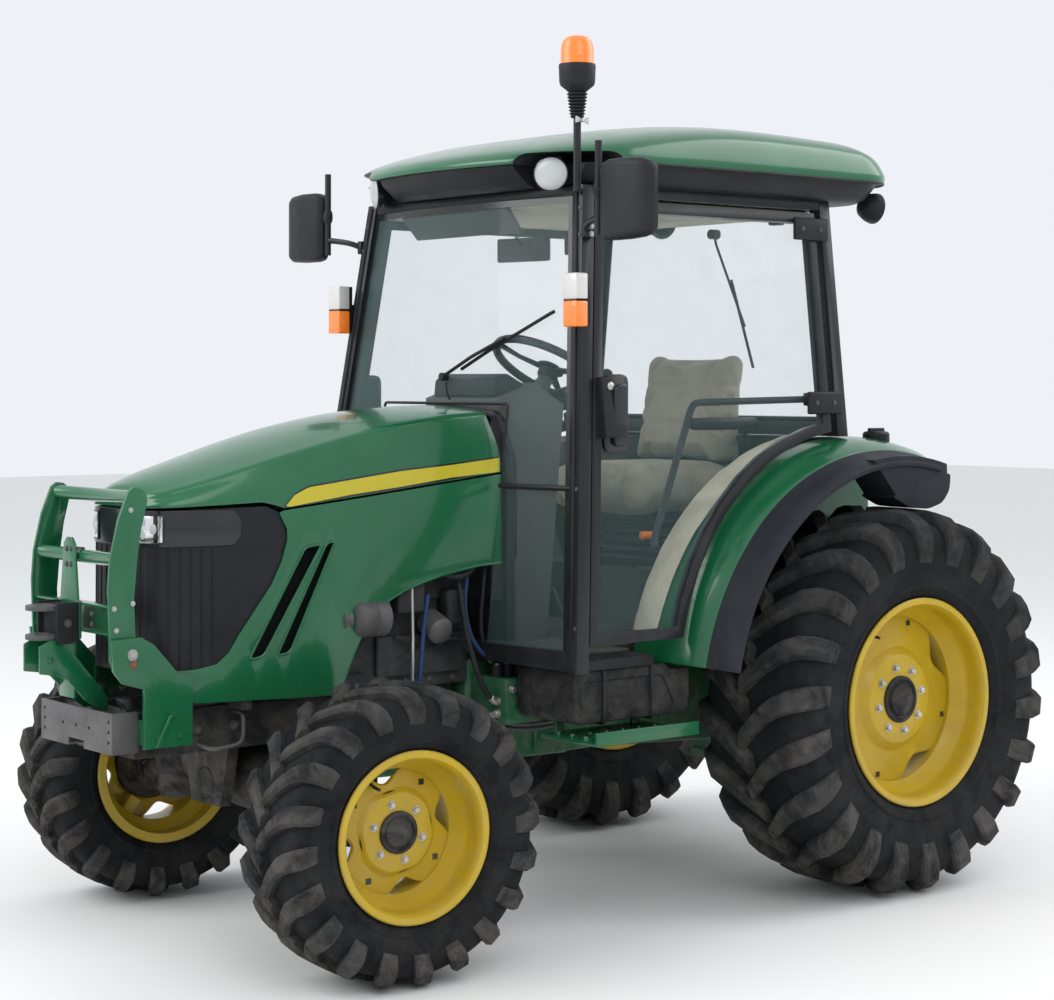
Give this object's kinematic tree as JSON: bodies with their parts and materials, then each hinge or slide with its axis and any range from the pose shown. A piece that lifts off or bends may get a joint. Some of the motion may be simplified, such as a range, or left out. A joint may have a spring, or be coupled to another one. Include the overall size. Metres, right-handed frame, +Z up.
{
  "type": "farm tractor",
  "caption": "Compact farm tractor with a glazed cab, big driven rear wheels, steered front wheels, a lifting hood, rear-hinged doors, a front guard and a rear linkage.",
  "frame": {"origin": "on the ground, midway between the foremost and rearmost points and on the tractor's middle plane", "axes": "+X forward, +Y to the tractor's left, +Z up"},
  "size_m": [3.5554, 1.875, 2.62],
  "materials": {
    "green_paint": "glossy enamel",
    "black_iron": "black paint over castings, dusty",
    "black_paint": "satin powder coat",
    "black_plastic": "grained moulding",
    "grey_plastic": "grained moulding",
    "flare_rubber": "matt",
    "tyre": "matt, dusty",
    "yellow_paint": "satin enamel",
    "tinted_glass": "clear with a green tint",
    "seat_fabric": "woven cloth",
    "worn_steel": "grey paint worn to metal"
  },
  "bodies": {
    "chassis": {"beacon": "black_plastic", "cab_floor": "black_paint", "cab_frame": "black_paint", "console_right": "black_plastic", "cowl": "black_plastic", "dashboard": "grey_plastic", "engine_block": "black_iron", "fender_flare_left": "flare_rubber", "fender_flare_right": "flare_rubber", "fender_left": "green_paint", "fender_right": "green_paint", "front_axle": "black_iron", "front_bumper": "worn_steel", "front_clevis": "green_paint", "front_frame": "black_iron", "front_hitch": "green_paint", "grille": "black_plastic", "hood_guard": "green_paint", "mirror_left": "black_plastic", "mirror_right": "black_plastic", "rear_axle": "black_iron", "rear_window": "tinted_glass", "roof": "green_paint", "roof_liner": "black_plastic", "seat_back": "seat_fabric", "seat_base": "black_plastic", "seat_cushion": "seat_fabric", "side_panel_left": "green_paint", "side_panel_right": "green_paint", "step_left": "green_paint", "step_right": "green_paint", "tank_left": "black_plastic", "tank_right": "black_plastic", "transmission_case": "black_iron", "valve_block": "green_paint", "windscreen": "tinted_glass"},
    "rear_wheel_left": {"rear_rim_left": "yellow_paint", "rear_tyre_left": "tyre"},
    "rear_wheel_right": {"rear_rim_right": "yellow_paint", "rear_tyre_right": "tyre"},
    "steering_knuckle_left": {"knuckle_left": "black_iron"},
    "steering_knuckle_right": {"knuckle_right": "black_iron"},
    "front_wheel_left": {"front_rim_left": "yellow_paint", "front_tyre_left": "tyre"},
    "front_wheel_right": {"front_rim_right": "yellow_paint", "front_tyre_right": "tyre"},
    "hood_lid": {"hood": "green_paint"},
    "cab_door_left": {"door_left": "black_paint", "door_glass_left": "tinted_glass"},
    "cab_door_right": {"door_right": "black_paint", "door_glass_right": "tinted_glass"},
    "hand_wheel": {"steering_wheel": "black_plastic"},
    "link_left": {"lower_link_left": "black_iron"},
    "link_right": {"lower_link_right": "black_iron"},
    "arm_left": {"lift_arm_left": "black_iron"},
    "arm_right": {"lift_arm_right": "black_iron"},
    "rod_left": {"lift_rod_left": "black_iron"},
    "rod_right": {"lift_rod_right": "black_iron"}
  },
  "joints": [
    {"name": "rear_wheel_spin_left", "type": "hinge", "parent": "chassis", "child": "rear_wheel_left", "pos_m": [-0.84219, 0.715, 0.606], "axis": [0, 1, 0], "continuous": true},
    {"name": "rear_wheel_spin_right", "type": "hinge", "parent": "chassis", "child": "rear_wheel_right", "pos_m": [-0.84219, -0.715, 0.606], "axis": [0, 1, 0], "continuous": true},
    {"name": "steer_left", "type": "hinge", "parent": "chassis", "child": "steering_knuckle_left", "pos_m": [1.02281, 0.475, 0.402], "axis": [0, 0, 1], "range_deg": [-42, 54]},
    {"name": "steer_right", "type": "hinge", "parent": "chassis", "child": "steering_knuckle_right", "pos_m": [1.02281, -0.475, 0.402], "axis": [0, 0, 1], "range_deg": [-42, 54]},
    {"name": "front_wheel_spin_left", "type": "hinge", "parent": "steering_knuckle_left", "child": "front_wheel_left", "pos_m": [1.04486, 0.68484, 0.402], "axis": [0.1045, 0.9945, 0], "continuous": true},
    {"name": "front_wheel_spin_right", "type": "hinge", "parent": "steering_knuckle_right", "child": "front_wheel_right", "pos_m": [1.00075, -0.68484, 0.402], "axis": [0.1045, 0.9945, 0], "continuous": true},
    {"name": "hand_wheel_turn", "type": "hinge", "parent": "chassis", "child": "hand_wheel", "pos_m": [-0.08219, 0, 1.65], "axis": [-0.5299, 0, 0.848], "range_deg": [-504, 648]},
    {"name": "hood_lift", "type": "hinge", "parent": "chassis", "child": "hood_lid", "pos_m": [0.38281, 0, 1.5], "axis": [0, -1, 0], "range_deg": [0, 45]},
    {"name": "door_swing_left", "type": "hinge", "parent": "chassis", "child": "cab_door_left", "pos_m": [-0.75019, 0.704, 0.84], "axis": [0, -0.1089, 0.9941], "range_deg": [0, 75]},
    {"name": "door_swing_right", "type": "hinge", "parent": "chassis", "child": "cab_door_right", "pos_m": [-0.75019, -0.704, 0.84], "axis": [0, -0.1089, -0.9941], "range_deg": [0, 75]},
    {"name": "link_lift_left", "type": "hinge", "parent": "chassis", "child": "link_left", "pos_m": [-0.94219, 0.215, 0.4], "axis": [0, 1, 0], "range_deg": [-8, 41]},
    {"name": "link_lift_right", "type": "hinge", "parent": "chassis", "child": "link_right", "pos_m": [-0.94219, -0.215, 0.4], "axis": [0, 1, 0], "range_deg": [-8, 41]},
    {"name": "arm_lift_left", "type": "hinge", "parent": "chassis", "child": "arm_left", "pos_m": [-0.96219, 0.185, 0.9], "axis": [0, 1, 0], "range_deg": [-8, 41]},
    {"name": "rod_swing_left", "type": "hinge", "parent": "arm_left", "child": "rod_left", "pos_m": [-1.30033, 0.185, 0.86446], "axis": [0, 1, 0], "range_deg": [-41, 8]},
    {"name": "arm_lift_right", "type": "hinge", "parent": "chassis", "child": "arm_right", "pos_m": [-0.96219, -0.185, 0.9], "axis": [0, 1, 0], "range_deg": [-8, 41]},
    {"name": "rod_swing_right", "type": "hinge", "parent": "arm_right", "child": "rod_right", "pos_m": [-1.30033, -0.185, 0.86446], "axis": [0, 1, 0], "range_deg": [-41, 8]}
  ],
  "couplings": [
    {"joint": "steer_right", "follows": "steer_left", "ratio": 1},
    {"joint": "hand_wheel_turn", "follows": "steer_left", "ratio": 12},
    {"joint": "link_lift_right", "follows": "link_lift_left", "ratio": 1},
    {"joint": "arm_lift_left", "follows": "link_lift_left", "ratio": 1},
    {"joint": "arm_lift_right", "follows": "link_lift_left", "ratio": 1},
    {"joint": "rod_swing_left", "follows": "link_lift_left", "ratio": -1},
    {"joint": "rod_swing_right", "follows": "link_lift_left", "ratio": -1}
  ]
}
